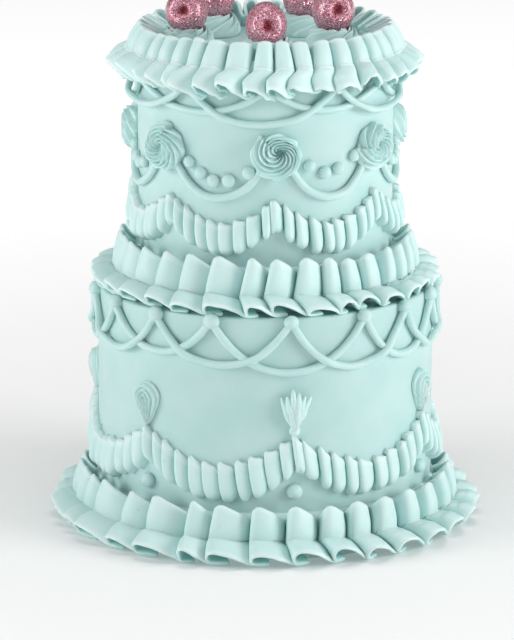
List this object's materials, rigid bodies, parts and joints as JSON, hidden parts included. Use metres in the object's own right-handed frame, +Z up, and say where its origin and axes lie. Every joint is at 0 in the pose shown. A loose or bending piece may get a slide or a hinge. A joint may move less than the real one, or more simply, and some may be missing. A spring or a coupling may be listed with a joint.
{
  "type": "tiered cake",
  "caption": "Tall two-tier buttercream cake with ruffled borders, swags, drop strings, rosettes and glittered cherries on top.",
  "frame": {"origin": "middle of the flat underside, on the surface that the cake stands on", "axes": "+Z up along the axis of both tiers, -Y towards the front that the picture shows, +X to the right of that front"},
  "size_m": [0.2835, 0.2835, 0.3543],
  "materials": {
    "aqua_icing": "satin buttercream, pale aqua",
    "pink_glitter": "edible glitter over a cherry, dusty pink"
  },
  "bodies": {
    "root": {"base_ruffle": "aqua_icing", "cherry_1": "pink_glitter", "cherry_2": "pink_glitter", "cherry_3": "pink_glitter", "cherry_4": "pink_glitter", "cherry_5": "pink_glitter", "lower_garland": "aqua_icing", "lower_strings": "aqua_icing", "lower_tier": "aqua_icing", "middle_ruffle": "aqua_icing", "rosette_string_1": "aqua_icing", "rosette_string_2": "aqua_icing", "rosette_string_3": "aqua_icing", "rosette_string_4": "aqua_icing", "rosette_string_5": "aqua_icing", "rosette_string_6": "aqua_icing", "rosette_string_7": "aqua_icing", "shell_1": "aqua_icing", "shell_2": "aqua_icing", "shell_3": "aqua_icing", "shell_4": "aqua_icing", "shell_5": "aqua_icing", "shell_6": "aqua_icing", "shell_7": "aqua_icing", "side_rosette_1": "aqua_icing", "side_rosette_2": "aqua_icing", "side_rosette_3": "aqua_icing", "side_rosette_4": "aqua_icing", "side_rosette_5": "aqua_icing", "side_rosette_6": "aqua_icing", "side_rosette_7": "aqua_icing", "top_rosette_1": "aqua_icing", "top_rosette_2": "aqua_icing", "top_rosette_3": "aqua_icing", "top_rosette_4": "aqua_icing", "top_rosette_5": "aqua_icing", "top_ruffle": "aqua_icing", "upper_garland": "aqua_icing", "upper_strings": "aqua_icing", "upper_tier": "aqua_icing"}
  },
  "joints": []
}
